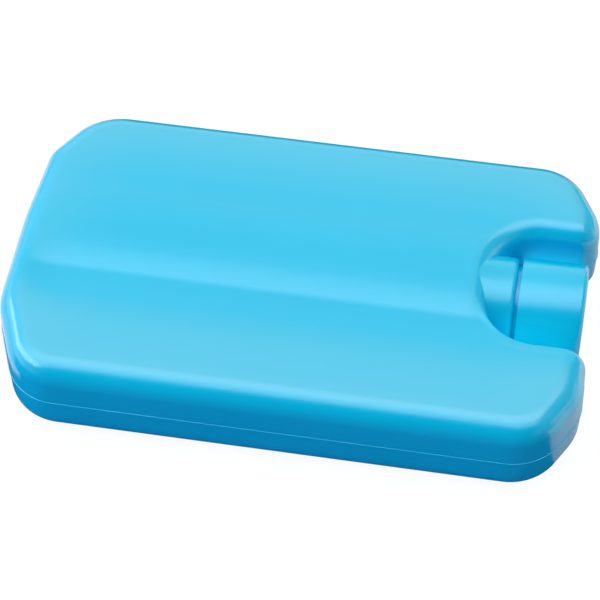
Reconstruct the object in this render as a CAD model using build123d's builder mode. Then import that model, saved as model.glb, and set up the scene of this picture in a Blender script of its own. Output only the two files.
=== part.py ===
from build123d import *
import os

os.makedirs("parts", exist_ok=True)

# A blow-moulded freezer pack: a flat, rounded block of soft plastic filled with gel. A notch in
# one short end holds the filling neck and its cap inside the outline of the block.
# It lies on its lower face, with the notch in the +X end and +Z up.
# Sizes are in millimetres and angles in degrees.

# The block
pack_length = 150.0
pack_width = 90.0
pack_thickness = 25.0
edge_radius = 6.4  # rounding all round both faces
mould_draft = 1.5  # each half narrows from the parting plane to its face

# The closed end, at -X, has unlike corners. The far one, at +Y, leans back a little from a bend
# to a shoulder and is then cut off. The near one is cut off straight from its bend.
far_bend_at = 7.5  # from the middle of the width
far_bend_radius = 60.0
far_shoulder_at = 29.3
far_shoulder_in = 1.7
far_shoulder_radius = 8.0
far_corner_run = 11.7
far_corner_radius = 17.0
near_bend_at = 21.7
near_bend_radius = 20.0
near_corner_run = 9.4
near_corner_radius = 14.3

# The notched end, at +X, runs straight between two like corners, cut off, and leans back a little
notched_end_lean = 0.5  # how far its far end stands back from its near end
notched_end_flat = 57.8
notched_end_radius = 14.5
notched_corner_run = 8.75
notched_corner_radius = 14.5

# The line of flash where the two mould halves meet is a ridge with a sharp crest
flash_height = 0.4

# The notch, with round corners at its floor
notch_depth = 27.0
notch_width = 34.5
notch_offset = 3.0  # the notch is off the middle, towards +Y
notch_corner_radius = 13.0
notch_edge_radius = 4.5

# The filling neck, which stands in the notch along X
neck_offset = 4.6  # its axis is further off the middle than the notch
neck_radius = 11.9
neck_length = 6.8  # from the notch's floor to the shoulder
neck_shoulder_chamfer = 1.2
neck_root = 9.0  # how far the neck runs on inside the block
spigot_radius = 10.0
spigot_length = 11.0

# The cap, pressed over the spigot
cap_radius = 12.3
cap_length = 17.1
cap_gap = 0.9  # open groove between the neck's shoulder and the cap's rim
cap_fit = 0.1  # radial clearance on the spigot
cap_end_radius = 1.5

# Places that follow from the sizes
half_length = pack_length / 2
half_width = pack_width / 2
half_thickness = pack_thickness / 2
notch_floor = half_length - notch_depth
notch_near_side = notch_offset - notch_width / 2
notch_far_side = notch_offset + notch_width / 2
margin = 0.5  # beyond the notch's walls, when they are picked out by place

# Each corner of the outline as x, y and radius, from the notched end round by the far side
outline_corners = [
    (half_length - notched_end_lean, notched_end_flat / 2, notched_end_radius),
    (half_length - notched_end_lean - notched_corner_run, half_width, notched_corner_radius),
    (-half_length + far_corner_run, half_width, far_corner_radius),
    (-half_length + far_shoulder_in, far_shoulder_at, far_shoulder_radius),
    (-half_length, far_bend_at, far_bend_radius),
    (-half_length, -near_bend_at, near_bend_radius),
    (-half_length + near_corner_run, -half_width, near_corner_radius),
    (half_length - notched_corner_run, -half_width, notched_corner_radius),
    (half_length, -notched_end_flat / 2, notched_end_radius),
]

# The two mould halves meet at half the thickness, and the neck's axis lies in that plane
parting_plane = Plane.XY.offset(half_thickness)
neck_plane = Plane(origin=(notch_floor, neck_offset, half_thickness), z_dir=(1, 0, 0))

with BuildSketch(parting_plane) as outline:
    with BuildLine():
        Polyline([(x, y) for x, y, radius in outline_corners], close=True)
    make_face()
    for x, y, radius in outline_corners:
        corner = outline.vertices().sort_by_distance((x, y, half_thickness))[0]
        fillet(corner, radius)

with BuildSketch(parting_plane) as notch_outline:
    with Locations((notch_floor, notch_offset)):
        Rectangle(notch_depth, notch_width, align=(Align.MIN, Align.CENTER))
    fillet(notch_outline.vertices().group_by(Axis.X)[0], notch_corner_radius)

with BuildPart() as notch:
    extrude(notch_outline.sketch, amount=half_thickness)
    draft(notch.faces().filter_by(Axis.Z, reverse=True), parting_plane, -mould_draft)

# The upper half of the block, from the parting plane to its face
with BuildPart() as upper_half:
    extrude(outline.sketch, amount=half_thickness)
    draft(upper_half.faces().filter_by(Axis.Z, reverse=True), parting_plane, mould_draft)
    fillet(upper_half.faces().sort_by(Axis.Z)[-1].edges(), edge_radius)
    add(notch.part, mode=Mode.SUBTRACT)
    # the notch's rim is each edge that only one of its walls has, above the parting plane
    notch_walls = (
        upper_half.faces()
        .filter_by_position(Axis.X, notch_floor - margin, half_length - margin)
        .filter_by_position(Axis.Y, notch_near_side - margin, notch_far_side + margin)
    )
    wall_edges = [edge for wall in notch_walls for edge in wall.edges()]
    notch_rim = [
        edge
        for edge in wall_edges
        if wall_edges.count(edge) == 1 and edge.center().Z > half_thickness + margin
    ]
    fillet(notch_rim, notch_edge_radius)

# The flash follows the parting line all round, in the notch too, and its inner half is sunk
parting_line = upper_half.faces().sort_by(Axis.Z)[0].outer_wire()

with BuildPart() as flash:
    with BuildSketch(Plane(origin=parting_line @ 0, z_dir=parting_line % 0)):
        RegularPolygon(flash_height, side_count=4)
    sweep(path=parting_line)

with BuildPart() as neck:
    with BuildSketch(neck_plane.offset(-neck_root)):
        Circle(neck_radius)
    extrude(amount=neck_root + neck_length)
    chamfer(neck.edges().group_by(Axis.X)[-1], neck_shoulder_chamfer)
    with BuildSketch(neck_plane.offset(neck_length)):
        Circle(spigot_radius)
    extrude(amount=spigot_length)

with BuildPart() as pack_body:
    add(upper_half.part)
    mirror(about=parting_plane)
    add(flash.part)
    add(neck.part)

# The cap's closed end rests on the spigot's, and its rim stops short of the neck's shoulder
with BuildPart() as filler_cap:
    with BuildSketch(neck_plane.offset(neck_length + cap_gap)):
        Circle(cap_radius)
    extrude(amount=cap_length)
    fillet(filler_cap.edges().group_by(Axis.X)[-1], cap_end_radius)
    with BuildSketch(neck_plane.offset(neck_length + cap_gap)):
        Circle(spigot_radius + cap_fit)
    extrude(amount=spigot_length - cap_gap, mode=Mode.SUBTRACT)

pack_body.part.label = "pack_body"
filler_cap.part.label = "filler_cap"

export_step(pack_body.part, "parts/pack_body.step")
export_step(filler_cap.part, "parts/filler_cap.step")
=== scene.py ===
import math

import bmesh
import bpy
from mathutils import Matrix, Quaternion, Vector


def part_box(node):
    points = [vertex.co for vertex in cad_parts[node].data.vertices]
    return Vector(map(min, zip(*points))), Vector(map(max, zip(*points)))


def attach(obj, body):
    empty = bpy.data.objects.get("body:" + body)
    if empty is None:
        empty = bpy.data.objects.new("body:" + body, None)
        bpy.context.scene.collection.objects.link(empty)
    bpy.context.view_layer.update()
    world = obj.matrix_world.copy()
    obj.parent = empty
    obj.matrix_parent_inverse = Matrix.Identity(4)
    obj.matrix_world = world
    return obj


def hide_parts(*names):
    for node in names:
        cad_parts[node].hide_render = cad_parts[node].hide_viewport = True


# A hard freezer pack of light blue plastic, with a notch in one end that shelters its capped
# filling neck. Everything is in metres, and the pack lies on its lower face with +Z up.

print("Loading the packed frame")
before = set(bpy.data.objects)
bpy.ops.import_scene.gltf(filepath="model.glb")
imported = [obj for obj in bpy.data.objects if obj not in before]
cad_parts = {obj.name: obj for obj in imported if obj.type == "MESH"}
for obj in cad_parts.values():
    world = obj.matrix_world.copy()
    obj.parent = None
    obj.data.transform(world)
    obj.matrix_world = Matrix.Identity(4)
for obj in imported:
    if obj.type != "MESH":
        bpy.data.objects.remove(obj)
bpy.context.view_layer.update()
mm = 0.001
tiny = 0.01 * mm  # two points nearer than this are in the same place
aligned = 0.9999  # a face looks along an axis when its normal reaches this far along it
packLow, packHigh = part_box("pack_body")
lying = packLow.z  # the plane the pack lies on
partingZ = (packLow.z + packHigh.z) / 2  # the two mould halves meet here
halfThickness = packHigh.z - partingZ


# Small helpers

def selectOnly(piece):
    bpy.ops.object.select_all(action="DESELECT")
    piece.select_set(True)
    bpy.context.view_layer.objects.active = piece


# goes into edit mode with all of the piece selected
def startEdit(piece):
    selectOnly(piece)
    bpy.ops.object.mode_set(mode="EDIT")
    bpy.ops.mesh.select_all(action="SELECT")


def leaveEdit():
    bpy.ops.object.mode_set(mode="OBJECT")


# selects only the faces or edges that pass the test, and leaves the piece in edit mode
def pick(piece, kind, test):
    if bpy.context.object.mode != "EDIT":
        startEdit(piece)
    bpy.ops.mesh.select_mode(type={"faces": "FACE", "edges": "EDGE"}[kind])
    bpy.ops.mesh.select_all(action="DESELECT")
    mesh = bmesh.from_edit_mesh(piece.data)
    mesh.normal_update()
    for item in getattr(mesh, kind):
        if test(item):
            item.select_set(True)
    mesh.select_flush_mode()
    bmesh.update_edit_mesh(piece.data)


def applyModifier(piece, kind, **settings):
    selectOnly(piece)
    modifier = piece.modifiers.new(kind.title(), kind)
    for name, value in settings.items():
        setattr(modifier, name, value)
    bpy.ops.object.modifier_apply(modifier=modifier.name)


def mirrorDown(piece):
    applyModifier(piece, "MIRROR", use_axis=(False, False, True), merge_threshold=tiny)


# puts the piece's place into its mesh and gives it its name
def settle(piece, name):
    selectOnly(piece)
    bpy.ops.object.transform_apply(location=True, rotation=True, scale=True)
    piece.name = name
    piece.data.name = name


def finishPiece(piece, name, smoothBelow):
    settle(piece, name)
    startEdit(piece)
    bpy.ops.mesh.normals_make_consistent(inside=False)
    leaveEdit()
    bpy.ops.object.shade_smooth_by_angle(angle=smoothBelow)


# The block, whose closed end at -X has unlike corners

block = {
    "length": 150 * mm,
    "width": 90 * mm,
    "rimRadius": 6.4 * mm,  # rounding all round both faces
    "rimSteps": 14,
    "draft": math.radians(1.5),
    "notchedFlat": 57.8 * mm,
    "notchedRun": 8.75 * mm,
    "notchedLean": 0.5 * mm,
    "notchedRadius": 14.5 * mm,
    "farRun": 11.7 * mm,
    "farRadius": 17 * mm,
    "farShoulder": (1.7 * mm, 29.3 * mm, 8 * mm),  # how far in, where across, and its radius
    "farBend": (7.5 * mm, 60 * mm),  # where across, and its radius
    "nearBend": (21.7 * mm, 20 * mm),
    "nearRun": 9.4 * mm,
    "nearRadius": 14.3 * mm,
    "cornerStep": math.radians(3.5),  # how far a corner turns from one point to the next
    "smoothBelow": math.radians(30),
}


# each corner as x, y and radius, from the notched end round by the far side
def outlineCorners():
    end = block["length"] / 2
    side = block["width"] / 2
    leaning = end - block["notchedLean"]
    flat = block["notchedFlat"] / 2
    shoulderIn, shoulderAt, shoulderRadius = block["farShoulder"]
    farBendAt, farBendRadius = block["farBend"]
    nearBendAt, nearBendRadius = block["nearBend"]
    return [
        (leaning, flat, block["notchedRadius"]),
        (leaning - block["notchedRun"], side, block["notchedRadius"]),
        (-end + block["farRun"], side, block["farRadius"]),
        (-end + shoulderIn, shoulderAt, shoulderRadius),
        (-end, farBendAt, farBendRadius),
        (-end, -nearBendAt, nearBendRadius),
        (-end + block["nearRun"], -side, block["nearRadius"]),
        (end - block["notchedRun"], -side, block["notchedRadius"]),
        (end, -flat, block["notchedRadius"]),
    ]


# points along the outline, with its corners rounded by tangent arcs
def roundedOutline(corners):
    points = []
    for index, (x, y, radius) in enumerate(corners):
        corner = Vector((x, y))
        before = (Vector(corners[index - 1][:2]) - corner).normalized()
        after = (Vector(corners[(index + 1) % len(corners)][:2]) - corner).normalized()
        turn = math.pi - before.angle(after)
        middle = (before + after).normalized()
        centre = corner + middle * radius / math.cos(turn / 2)
        steps = max(2, round(turn / block["cornerStep"]))
        start = corner + before * radius * math.tan(turn / 2) - centre
        for step in range(steps + 1):
            points.append(centre + Matrix.Rotation(turn * step / steps, 2) @ start)
    return points


def makeBlock():
    points = roundedOutline(outlineCorners())
    bpy.ops.mesh.primitive_circle_add(
        vertices=len(points), radius=block["width"] / 2, fill_type="NGON", location=(0, 0, partingZ)
    )
    piece = bpy.context.object
    for vertex, point in zip(piece.data.vertices, points):
        vertex.co = (point.x, point.y, 0)
    startEdit(piece)
    bpy.ops.mesh.normals_make_consistent(inside=False)
    wall = halfThickness - block["rimRadius"] * (1 - math.sin(block["draft"]))
    bpy.ops.mesh.extrude_region_move()
    bpy.ops.mesh.inset(thickness=wall * math.tan(block["draft"]), depth=wall)
    step = (math.pi / 2 - block["draft"]) / block["rimSteps"]
    for index in range(block["rimSteps"]):
        before = block["draft"] + index * step
        after = before + step
        bpy.ops.mesh.inset(
            thickness=block["rimRadius"] * (math.cos(before) - math.cos(after)),
            depth=block["rimRadius"] * (math.sin(after) - math.sin(before)),
        )
    pick(piece, "faces", lambda face: abs(face.calc_center_median().z) < tiny)
    bpy.ops.mesh.delete(type="FACE")
    leaveEdit()
    # the insets come out a little too high
    made = max(vertex.co.z for vertex in piece.data.vertices)
    startEdit(piece)
    bpy.ops.transform.resize(
        value=(1, 1, halfThickness / made), center_override=(0, 0, partingZ)
    )
    leaveEdit()
    mirrorDown(piece)
    settle(piece, "packBody")
    return piece


# The notch

notch = {
    "floor": 48 * mm,  # where the notch's floor stands, along X
    "width": 34.5 * mm,
    "offset": 3 * mm,
    "cornerRadius": 13 * mm,
    "cornerSteps": 22,
    "rimRadius": 4.5 * mm,
    "rimSteps": 12,
    "past": 10 * mm,  # the cutter runs past the block
    "margin": 1 * mm,  # its walls are looked for this far round the cutter
    "mouth": 2 * mm,  # they end this far inside the block's end
    "wallTilt": 0.1,  # the most that a wall's normal may lean up or down
}


# the notch's lowest and highest corner in plan
def notchReach(grow=0.0):
    half = notch["width"] / 2 + grow
    low = Vector((notch["floor"] - grow, notch["offset"] - half))
    high = Vector((block["length"] / 2 + notch["past"], notch["offset"] + half))
    return low, high


def makeNotchCutter():
    low, high = notchReach()
    middle = (low + high) / 2
    length, width = high - low
    height = halfThickness + notch["past"]
    bpy.ops.mesh.primitive_cube_add(
        size=1,
        location=(middle.x, middle.y, partingZ + height / 2),
        scale=(length, width, height),
    )
    piece = bpy.context.object
    settle(piece, "notchCutter")
    pick(piece, "faces", lambda face: face.normal.z > aligned)
    flare = 2 * height * math.tan(block["draft"])
    bpy.ops.transform.resize(
        value=(1 + flare / length, 1 + flare / width, 1),
        center_override=(middle.x, middle.y, partingZ + height),
    )

    def isFloorCorner(edge):
        rise = abs(edge.verts[0].co.z - edge.verts[1].co.z)
        return rise > height / 2 and all(end.co.x < middle.x for end in edge.verts)

    pick(piece, "edges", isFloorCorner)
    bpy.ops.mesh.bevel(offset=notch["cornerRadius"], segments=notch["cornerSteps"])
    pick(piece, "faces", lambda face: face.normal.z < -aligned)
    bpy.ops.mesh.delete(type="FACE")
    leaveEdit()
    bpy.context.scene.cursor.location = (0, 0, partingZ)
    bpy.ops.object.origin_set(type="ORIGIN_CURSOR")
    mirrorDown(piece)
    settle(piece, "notchCutter")
    return piece


def cutNotch(piece):
    cutter = makeNotchCutter()
    applyModifier(piece, "BOOLEAN", operation="DIFFERENCE", solver="EXACT", object=cutter)
    bpy.data.objects.remove(cutter)
    low, high = notchReach(notch["margin"])
    mouth = block["length"] / 2 - notch["mouth"]

    def isWall(face):
        centre = face.calc_center_median()
        inside = low.x < centre.x < mouth and low.y < centre.y < high.y
        return inside and abs(face.normal.z) < notch["wallTilt"]

    # the rim is each edge that only one of the notch's walls has
    def isRim(edge):
        return [isWall(face) for face in edge.link_faces].count(True) == 1

    pick(piece, "edges", isRim)
    bpy.ops.mesh.bevel(
        offset=notch["rimRadius"], segments=notch["rimSteps"], clamp_overlap=False
    )
    leaveEdit()


# The neck and the cap are turned about one axis, along X

neck = {
    "offset": 4.9 * mm,  # its axis, towards +Y from the middle
    "radius": 12.05 * mm,
    "root": 9 * mm,  # how far it runs on inside the block
    "length": 7.0 * mm,
    "shoulderRadius": 1.6 * mm,
    "shoulderSteps": 7,
    "spigotRadius": 10 * mm,
    "spigotLength": 11 * mm,
    "sides": 96,
}

cap = {
    "radius": 12.42 * mm,
    "length": 16.9 * mm,
    "gap": 0.9 * mm,  # open groove between the neck's shoulder and the cap's rim
    "endRadius": 1.5 * mm,
    "endSteps": 8,
    "rimRadius": 0.12 * mm,
    "rimSteps": 2,
    "fit": 0.1 * mm,  # clearance on the spigot
    "sides": 128,
    "smoothBelow": math.radians(30),
}


def addRound(name, values, start, length):
    bpy.ops.mesh.primitive_cylinder_add(
        vertices=values["sides"],
        radius=values["radius"],
        depth=length,
        location=(start + length / 2, neck["offset"], partingZ),
        rotation=(0, math.radians(90), 0),
    )
    piece = bpy.context.object
    settle(piece, name)
    return piece


# rounds the edge round one end
def roundEnd(piece, place, radius, steps):
    pick(piece, "edges", lambda edge: all(abs(end.co.x - place) < tiny for end in edge.verts))
    bpy.ops.mesh.bevel(offset=radius, segments=steps)


# narrows the end that is picked, and pushes it along X
def stepEnd(thickness, depth):
    bpy.ops.mesh.inset(thickness=thickness)
    bpy.ops.mesh.extrude_region_move(TRANSFORM_OT_translate={"value": (depth, 0, 0)})
    leaveEdit()


def makeNeck():
    start = notch["floor"] - neck["root"]
    length = neck["root"] + neck["length"]
    piece = addRound("neck", neck, start, length)
    roundEnd(piece, start + length, neck["shoulderRadius"], neck["shoulderSteps"])
    pick(piece, "faces", lambda face: face.normal.x > aligned)
    ledge = neck["radius"] - neck["shoulderRadius"] - neck["spigotRadius"]
    stepEnd(ledge, neck["spigotLength"])
    return piece


def makeCap():
    rim = notch["floor"] + neck["length"] + cap["gap"]
    piece = addRound("fillerCap", cap, rim, cap["length"])
    roundEnd(piece, rim + cap["length"], cap["endRadius"], cap["endSteps"])
    roundEnd(piece, rim, cap["rimRadius"], cap["rimSteps"])
    pick(piece, "faces", lambda face: face.normal.x < -aligned)
    bore = neck["spigotRadius"] + cap["fit"]
    stepEnd(cap["radius"] - cap["rimRadius"] - bore, neck["spigotLength"] - cap["gap"])
    finishPiece(piece, "fillerCap", cap["smoothBelow"])
    return piece


# The block's faces aren't quite flat: the panel nearer the -Y side is sunk a little,
# behind a soft shoulder

relief = {
    "creaseAt": -9.75 * mm,  # the foot of the shoulder, along Y
    "footBlend": 1.0 * mm,  # how far the foot is rounded to each side
    "blendSteps": 4,
    "shoulderSlope": math.radians(13.5),
    "shoulderRun": 12.5 * mm,
    "nearReach": 15 * mm,
    "fadeDepth": 1.5 * mm,  # the relief dies out down the rounded rim
    "endsAt": -74.5 * mm,  # it dies out towards the closed end
    "endReach": 13 * mm,
    "grid": 3 * mm,
    "row": 0.5 * mm,  # rows of small faces along the crease
    "rows": (-7, 25),  # the first and the last of them, counted from the crease
    "footRows": 2,  # further from the crease than this, every other one is left out
    "sliceMerge": 0.001 * mm,
}


# cuts the broad faces into small ones, closer together at the crease
def addGrid(piece):
    grid = relief["grid"]
    columns = int(block["length"] / 2 / grid)
    lines = int(block["width"] / 2 / grid)
    firstRow, lastRow = relief["rows"]
    slices = [(Vector((1, 0, 0)), step * grid) for step in range(-columns, columns + 1)]
    slices += [(Vector((0, 1, 0)), step * grid) for step in range(-lines, lines + 1)]
    for step in range(firstRow, lastRow + 1):
        if step % 2 or abs(step) <= relief["footRows"]:
            slices.append((Vector((0, 1, 0)), relief["creaseAt"] + step * relief["row"]))
    startEdit(piece)
    for direction, place in slices:
        bpy.ops.mesh.select_all(action="SELECT")
        bpy.ops.mesh.bisect(
            plane_co=direction * place, plane_no=direction, threshold=relief["sliceMerge"]
        )
    leaveEdit()


# from 0 to 1 with a soft start and end
def smoothstep(value):
    value = max(0.0, min(1.0, value))
    return value * value * (3 - 2 * value)


# what is left of a climb whose slope dies out as (1 - t**2)**2, at t from 0 to 1
def climbLeft(t):
    return 8 / 15 - t + 2 / 3 * t**3 - t**5 / 5


# how far the face stands below its highest line, at a place across the width
def faceRelief(y):
    depth = math.tan(relief["shoulderSlope"]) * relief["shoulderRun"]
    past = y - relief["creaseAt"]
    if past > 0:
        return depth * climbLeft(min(1.0, past / relief["shoulderRun"]))
    return depth * climbLeft(0) * (1 - smoothstep(-past / relief["nearReach"]))


def softRelief(y):
    steps = relief["blendSteps"]
    places = [y + step / steps * relief["footBlend"] for step in range(-steps, steps + 1)]
    return sum(faceRelief(place) for place in places) / len(places)


def addRelief(piece):
    for vertex in piece.data.vertices:
        above = vertex.co.z - partingZ
        below = halfThickness - abs(above)
        weight = smoothstep(1 - below / relief["fadeDepth"])
        along = smoothstep((vertex.co.x - relief["endsAt"]) / relief["endReach"])
        vertex.co.z -= math.copysign(softRelief(vertex.co.y) * weight * along, above)


# The flash is left where the two mould halves meet

flash = {
    "height": 0.15 * mm,
    "roundness": 3,
    "clear": 0.1 * mm,  # it stops this far off the neck's wall
    "smoothBelow": math.radians(60),
}


def makeFlash(piece):
    def isSeam(edge):
        middle = (edge.verts[0].co + edge.verts[1].co) / 2
        level = all(abs(end.co.z - partingZ) < tiny for end in edge.verts)
        outside = middle.x <= notch["floor"] + flash["clear"]
        beside = abs(middle.y - neck["offset"]) >= neck["radius"] + flash["clear"]
        return level and (outside or beside)

    pick(piece, "edges", isSeam)
    bpy.ops.mesh.duplicate()
    bpy.ops.mesh.separate(type="SELECTED")
    leaveEdit()
    line = [other for other in bpy.context.selected_objects if other != piece][0]
    selectOnly(line)
    bpy.ops.object.convert(target="CURVE")
    line.data.bevel_depth = flash["height"]
    line.data.bevel_resolution = flash["roundness"]
    line.data.use_fill_caps = True
    bpy.ops.object.convert(target="MESH")
    startEdit(line)
    bpy.ops.mesh.remove_doubles(threshold=tiny)
    leaveEdit()
    finishPiece(line, "flashLine", flash["smoothBelow"])
    return line


print("Shaping the block")
body = makeBlock()
print("Cutting the notch")
cutNotch(body)
print("Adding the relief of the faces")
addGrid(body)
addRelief(body)
print("Adding the neck")
stub = makeNeck()
applyModifier(body, "BOOLEAN", operation="UNION", solver="MANIFOLD", object=stub)
bpy.data.objects.remove(stub)
print("Laying the flash along the seam")
flashLine = makeFlash(body)
finishPiece(body, "packBody", block["smoothBelow"])
print("Making the cap")
fillerCap = makeCap()

for piece in (body, flashLine, fillerCap):
    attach(piece, "root")
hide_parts("pack_body")
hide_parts("filler_cap")


# The camera

view = {
    "distance": 613.3 * mm,
    "elevation": math.radians(51.66),
    "yaw": math.radians(-9.70),
    "roll": math.radians(-0.39),
    "focalPixels": 2363,
    "imagePixels": 600,
    "moved": (2.02, -7.59),  # pixels right and down
    "sensor": 36,  # the camera's own millimetres
    "nearest": 10 * mm,
}

# level directions across the picture and into it
across = Vector((math.cos(view["yaw"]), -math.sin(view["yaw"]), 0))
ahead = Vector((math.sin(view["yaw"]), math.cos(view["yaw"]), 0))


def makeCamera():
    elevation, roll = view["elevation"], view["roll"]
    forward = ahead * math.cos(elevation) - Vector((0, 0, math.sin(elevation)))
    right = math.cos(roll) * across + math.sin(roll) * across.cross(forward)
    up = right.cross(forward)
    bpy.ops.object.camera_add()
    camera = bpy.context.object
    camera.name = "productCamera"
    place = Vector((0, 0, partingZ)) - forward * view["distance"]
    turned = Matrix((right, up, -forward)).transposed().to_4x4()
    camera.matrix_world = Matrix.Translation(place) @ turned
    camera.data.sensor_width = view["sensor"]
    camera.data.lens = view["focalPixels"] * view["sensor"] / view["imagePixels"]
    camera.data.shift_x = -view["moved"][0] / view["imagePixels"]
    camera.data.shift_y = view["moved"][1] / view["imagePixels"]
    camera.data.clip_start = view["nearest"]
    bpy.context.scene.camera = camera


print("Placing the camera")
makeCamera()


# Shader maths: a Value wraps a socket, so that plain expressions add the nodes

class Value:
    def __init__(self, tree, socket):
        self.tree = tree
        self.socket = socket

    # adds a node: a socket is named by its identifier, or by its number as in _0
    def node(self, kind, output=0, settings=None, **inputs):
        made = self.tree.nodes.new(kind)
        for name, value in (settings or {}).items():
            if name == "stops":
                setStops(made.color_ramp, value)
            else:
                setattr(made, name, value)
        for name, value in inputs.items():
            if name[0] == "_":
                target = made.inputs[int(name[1:])]
            else:
                target = [slot for slot in made.inputs if slot.identifier == name][0]
            if isinstance(value, Value):
                self.tree.links.new(value.socket, target)
            else:
                target.default_value = value
        if isinstance(output, str):
            output = [slot.identifier for slot in made.outputs].index(output)
        return Value(self.tree, made.outputs[output])

    def maths(self, operation, first, second=0.0):
        return self.node("ShaderNodeMath", settings={"operation": operation}, _0=first, _1=second)

    def __add__(self, other):
        return self.maths("ADD", self, other)

    def __sub__(self, other):
        return self.maths("SUBTRACT", self, other)

    def __rsub__(self, other):
        return self.maths("SUBTRACT", other, self)

    def __mul__(self, other):
        return self.maths("MULTIPLY", self, other)

    def __truediv__(self, other):
        return self.maths("DIVIDE", self, other)

    def __rtruediv__(self, other):
        return self.maths("DIVIDE", other, self)

    __radd__ = __add__
    __rmul__ = __mul__

    def absolute(self):
        return self.maths("ABSOLUTE", self)

    def clamped(self):
        return self.maths("MAXIMUM", self.maths("MINIMUM", self, 1.0), 0.0)

    def dot(self, direction):
        settings = {"operation": "DOT_PRODUCT"}
        return self.node("ShaderNodeVectorMath", "Value", settings, _0=self, _1=direction)

    def ramp(self, stops):
        return self.node("ShaderNodeValToRGB", settings={"stops": stops}, Fac=self)

    # a length through a ramp whose stops are in mm, from -reach to reach
    def curve(self, stops, reach):
        place = self / (2 * reach * mm) + 0.5
        return place.ramp([(0.5 + at / (2 * reach), level) for at, level in stops])


# each stop is a place with a colour or a level of grey
def setStops(ramp, stops):
    while len(ramp.elements) < len(stops):
        ramp.elements.new(0.5)
    for element, (place, colour) in zip(ramp.elements, stops):
        element.position = place
        element.color = colour if isinstance(colour, tuple) else (colour, colour, colour, 1)


# The plastics

plastic = {
    "colour": (0.0, 0.59, 0.87, 1),
    "deep": (0.0, 0.575, 0.855, 1),
    "pale": (0.08, 0.615, 0.845, 1),  # painted sheen: lighter towards the rims of the broad faces, standing in for light they catch there
    "cloud": {"Scale": 38.0, "Detail": 2.0, "Roughness": 0.5},
    "grain": {"Scale": 900.0, "Detail": 3.0, "Roughness": 0.6},
    "cloudStops": (0.3, 0.7),  # from the deep colour to the plain one
    "roughness": 0.2,
    "uneven": 0.06,  # how much clouds and grain change the roughness
    "bump": 0.05,
    "bumpHeight": 0.2 * mm,
    "sheenAt": 11.8 * mm,  # the painted sheen starts this far above and below the seam
    "sheenFade": 0.6 * mm,
    # how strong the painted sheen is, across the width in mm from the middle
    "sheenAcross": [
        (-38, 1.0),
        (-33, 0.9),
        (-27, 0.75),
        (-24, 0.55),
        (-18, 0.3),
        (-12, 0.0),
        (6, 0.0),
        (12, 0.12),
        (16, 0.25),
        (21, 0.17),
        (24, 0.28),
        (30, 0.5),
        (38, 0.95),
    ],
    "acrossReach": 50,
    # how strong the painted sheen is, along the length
    "sheenAlong": [
        (-74, 0.6),
        (-66, 0.35),
        (-58, 0.15),
        (-48, 0.0),
        (50, 0.0),
        (62, 0.2),
        (72, 0.35),
    ],
    "alongReach": 80,
}


# how much painted sheen lightens the colour, towards the rims of the broad faces
def paintedSheen(where):
    ends = where.dot((1, 0, 0)).curve(plastic["sheenAlong"], plastic["alongReach"])
    sides = where.dot((0, 1, 0)).curve(plastic["sheenAcross"], plastic["acrossReach"])
    fromSeam = (where.dot((0, 0, 1)) - partingZ).absolute()
    onFace = ((fromSeam - plastic["sheenAt"]) / plastic["sheenFade"]).clamped()
    return (sides + ends).clamped() * onFace


def plasticMaterial(name, withPaintedSheen):
    material = bpy.data.materials.new(name)
    material.use_nodes = True
    tree = material.node_tree
    shader = tree.nodes["Principled BSDF"]
    where = Value(tree, tree.nodes.new("ShaderNodeTexCoord").outputs["Object"])
    cloud = where.node("ShaderNodeTexNoise", Vector=where, **plastic["cloud"])
    grain = where.node("ShaderNodeTexNoise", Vector=where, **plastic["grain"])
    colours = (plastic["deep"], plastic["colour"])
    tone = cloud.ramp(list(zip(plastic["cloudStops"], colours)))
    # painted sheen: the colour is mixed towards a lighter one near the rims of the broad faces,
    # standing in for light they catch there
    if withPaintedSheen:
        tone = where.node(
            "ShaderNodeMix",
            "Result_Color",
            {"data_type": "RGBA"},
            Factor_Float=paintedSheen(where),
            A_Color=tone,
            B_Color=plastic["pale"],
        )
    gloss = (cloud - 0.5) * plastic["uneven"] + (grain - 0.5) * plastic["uneven"]
    gloss = gloss + plastic["roughness"]
    bump = where.node(
        "ShaderNodeBump", Height=grain, Strength=plastic["bump"], Distance=plastic["bumpHeight"]
    )
    tree.links.new(tone.socket, shader.inputs["Base Color"])
    tree.links.new(gloss.socket, shader.inputs["Roughness"])
    tree.links.new(bump.socket, shader.inputs["Normal"])
    return material


print("Making the plastics")
# the body's plastic carries the painted sheen, the cap's does not
bodyPlastic = plasticMaterial("bodyPlastic", True)
capPlastic = plasticMaterial("capPlastic", False)
for piece, material in ((body, bodyPlastic), (flashLine, bodyPlastic), (fillerCap, capPlastic)):
    piece.data.materials.clear()
    piece.data.materials.append(material)


# Light and surroundings

white = (1, 1, 1, 1)

surround = {
    # a lit arch over the piece: its brightness by degrees, from the far side over the top
    # to the camera's side
    "arch": [
        (0, 1.3),
        (10, 1.55),
        (30, 1.4),
        (52, 1.5),
        (60, 1.75),
        (70, 3.0),
        (78, 3.9),
        (93, 4.7),
        (106, 4.0),
        (117, 3.0),
        (122, 1.8),
        (129, 0.3),
        (136, 0.05),
        (180, 0.05),
    ],
    "radius": 2500 * mm,
    "length": 7000 * mm,
    "sides": 96,
    "gap": 1 * mm,  # it ends this far above the floor, and this far short of its full length
    "mirroredEnd": 1760 * mm,  # the mirrored arch stops nearer on the right
    "mirrored": 1.0,
    "soft": 0.385,  # how much of it the matt side of the plastic gets
    "ends": (0.52, 0.6, 0.77, 1),  # what shows past the arch's open ends
}


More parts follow.
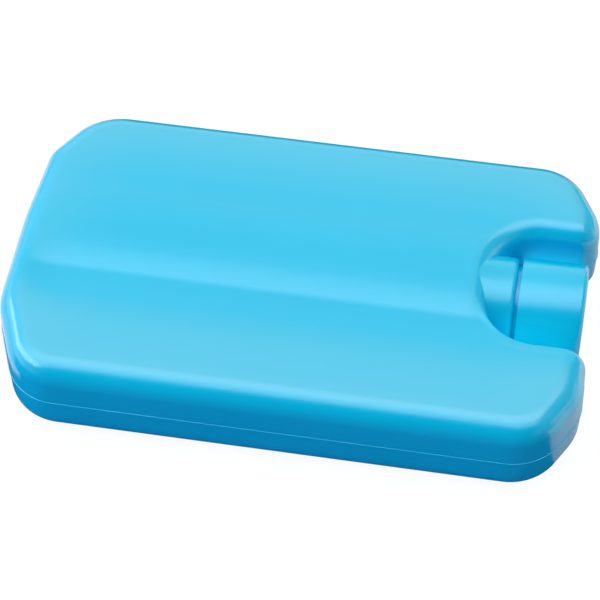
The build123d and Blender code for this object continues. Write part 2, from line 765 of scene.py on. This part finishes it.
def makeWorld():
    world = bpy.data.worlds.new("studio")
    bpy.context.scene.world = world
    world.use_nodes = True
    tree = world.node_tree
    tree.nodes.clear()
    out = tree.nodes.new("ShaderNodeOutputWorld")
    seen = Value(tree, tree.nodes.new("ShaderNodeLightPath").outputs["Is Camera Ray"])
    ends = seen.node("ShaderNodeBackground", Color=surround["ends"])
    backdrop = seen.node("ShaderNodeBackground", Color=white)
    mixed = seen.node("ShaderNodeMixShader", Fac=seen, _1=ends, _2=backdrop)
    tree.links.new(mixed.socket, out.inputs["Surface"])


# gives a piece of the stage an empty material, and returns its nodes and its surface
def startStage(piece):
    material = bpy.data.materials.new(piece.name)
    material.use_nodes = True
    tree = material.node_tree
    tree.nodes.clear()
    piece.data.materials.append(material)
    return tree, tree.nodes.new("ShaderNodeOutputMaterial").inputs["Surface"]


def makeArch(name, share, rightEnd):
    bpy.ops.mesh.primitive_cylinder_add(
        vertices=surround["sides"],
        radius=surround["radius"],
        depth=surround["length"],
        end_fill_type="NOTHING",
        location=(0, 0, lying),
        rotation=(0, math.radians(90), 0),
    )
    arch = bpy.context.object
    settle(arch, name)
    arch.rotation_euler = (0, 0, -view["yaw"])
    settle(arch, name)
    startEdit(arch)
    low = Vector((0, 0, lying + surround["gap"]))
    bpy.ops.mesh.bisect(plane_co=low, plane_no=(0, 0, 1), clear_inner=True)
    bpy.ops.mesh.select_all(action="SELECT")
    bpy.ops.mesh.bisect(plane_co=across * rightEnd, plane_no=across, clear_outer=True)
    leaveEdit()
    tree, surface = startStage(arch)
    where = Value(tree, tree.nodes.new("ShaderNodeTexCoord").outputs["Object"])
    turn = where.maths("ARCTAN2", where.dot((0, 0, 1)), where.dot(ahead)) / math.pi
    peak = max(level for degrees, level in surround["arch"])
    stops = [(math.radians(degrees) / math.pi, level / peak) for degrees, level in surround["arch"]]
    lit = where.node("ShaderNodeEmission", Color=turn.ramp(stops), Strength=peak * share)
    tree.links.new(lit.socket, surface)
    arch.visible_camera = False
    return arch


stage = {
    "size": 6000 * mm,
    "below": 0.02 * mm,
    "bounce": (0.3, 0.37, 0.59, 1),  # what the matt side of the plastic sees
    "mirrored": (0.01, 0.02, 0.05, 1),  # what its mirror side sees
    "seen": (0.12, 0.12, 0.12, 1),  # what the camera sees, on top of the glow
    "glow": 0.93,
}


def makeFloor():
    bpy.ops.mesh.primitive_plane_add(size=stage["size"], location=(0, 0, lying - stage["below"]))
    floor = bpy.context.object
    floor.name = "studioFloor"
    tree, surface = startStage(floor)
    path = tree.nodes.new("ShaderNodeLightPath")
    camera = Value(tree, path.outputs["Is Camera Ray"])
    glossy = Value(tree, path.outputs["Is Glossy Ray"])
    bounce = camera.node("ShaderNodeBsdfDiffuse", Color=stage["bounce"])
    mirrored = camera.node("ShaderNodeEmission", Color=stage["mirrored"])
    pale = camera.node("ShaderNodeBsdfDiffuse", Color=stage["seen"])
    glow = camera.node("ShaderNodeEmission", Color=white, Strength=stage["glow"])
    seen = camera.node("ShaderNodeAddShader", _0=pale, _1=glow)
    other = camera.node("ShaderNodeMixShader", Fac=glossy, _1=bounce, _2=mirrored)
    mixed = camera.node("ShaderNodeMixShader", Fac=camera, _1=other, _2=seen)
    tree.links.new(mixed.socket, surface)


# Glowing cards, with places and sizes in mm. One with no direction of its own faces the piece.
# The mirror side of the plastic sees a card unless "mirrored" is False, and its matt side sees
# it only where "matt" is True.

upwards = (0, 0, 1)
warm = (1, 0.82, 0.62, 1)
throughPlastic = (0.1, 0.88, 1.0, 1)

# how the bright floor to the right falls off towards the piece: its share by mm along X
floorFade = [(73, 0.2), (80, 0.3), (88, 0.45), (120, 0.85), (200, 1.0)]
fadeReach = 250

cards = {
    "leftCard": {
        "place": (-1540, -220, 1000),
        "size": (540, 2200),
        "lean": 66,
        "colour": (1, 0.97, 1, 1),
        "strength": 7.4,
    },
    "leftPanel": {
        "place": (-1850, 150, 200),
        "size": (2200, 700),
        "colour": white,
        "strength": 2.2,
        "matt": True,
    },
    "leftSoft": {
        "place": (-1300, -1000, 500),
        "size": (1100, 900),
        "colour": (0.68, 1.0, 1.45, 1),
        "strength": 2.3,
        "matt": True,
        "mirrored": False,
    },
    "leftFloor": {
        "place": (-240, 66, 0),
        "size": (320, 220),
        "facing": upwards,
        "colour": white,
        "strength": 1.3,
    },
    "rightPanel": {
        "place": (1500, 300, 150),
        "size": (1200, 500),
        "colour": (1, 0.8, 0.6, 1),
        "strength": 2.2,
    },
    "rightFloor": {
        "place": (235, 90, 0),
        "size": (324, 240),
        "facing": upwards,
        "colour": warm,
        "strength": 2.4,
        "fade": floorFade,
    },
    "rightCornerFloor": {
        "place": (222, 5, 0),
        "size": (240, 200),
        "facing": upwards,
        "lean": -25,
        "colour": warm,
        "strength": 2.4,
        "fade": floorFade,
    },
    # the last three stand for light that pale plastic passes on inside the notch, from walls
    # that face away from the camera
    "notchGlow": {
        "place": (66.5, -13.4, 12.5),
        "size": (12, 18),
        "facing": (0, 1, 0),
        "colour": throughPlastic,
        "strength": 1.0,
        "matt": True,
        "mirrored": False,
    },
    "notchCornerGlow": {
        "place": (56.8, -10.2, 12.5),
        "size": (8, 18),
        "facing": (0.5, 0.87, 0),
        "colour": throughPlastic,
        "strength": 1.0,
        "matt": True,
        "mirrored": False,
    },
    "farGlow": {
        "place": (64, 18.0, 10),
        "size": (15, 12),
        "facing": (0, 1, 0),
        "colour": (0.6, 0.8, 1.0, 1),
        "strength": 1.0,
        "matt": True,
        "mirrored": False,
    },
}


def makeCard(name, card):
    place = Vector(card["place"]) * mm + Vector((0, 0, lying))
    length, width = card["size"]
    facing = Vector(card["facing"]) if "facing" in card else Vector((0, 0, partingZ)) - place
    lean = Quaternion((0, 0, 1), math.radians(card.get("lean", 0)))
    bpy.ops.mesh.primitive_plane_add(size=1, location=place)
    made = bpy.context.object
    made.scale = (length * mm, width * mm, 1)
    made.rotation_euler = (facing.to_track_quat("Z", "Y") @ lean).to_euler()
    settle(made, name)
    tree, surface = startStage(made)
    where = Value(tree, tree.nodes.new("ShaderNodeTexCoord").outputs["Object"])
    strength = card["strength"]
    if "fade" in card:
        strength = where.dot((1, 0, 0)).curve(card["fade"], fadeReach) * strength
    glow = where.node("ShaderNodeEmission", Color=card["colour"], Strength=strength)
    tree.links.new(glow.socket, surface)
    made.visible_camera = False
    made.visible_shadow = False
    made.visible_diffuse = card.get("matt", False)
    made.visible_glossy = card.get("mirrored", True)


print("Setting the lights")
makeWorld()
makeFloor()
mirroredArch = makeArch("mirroredArch", surround["mirrored"], surround["mirroredEnd"])
mirroredArch.visible_diffuse = False
softArch = makeArch("softArch", surround["soft"], surround["length"] / 2 - surround["gap"])
softArch.visible_glossy = False
for name, card in cards.items():
    makeCard(name, card)

bpy.context.scene.view_settings.view_transform = "Standard"
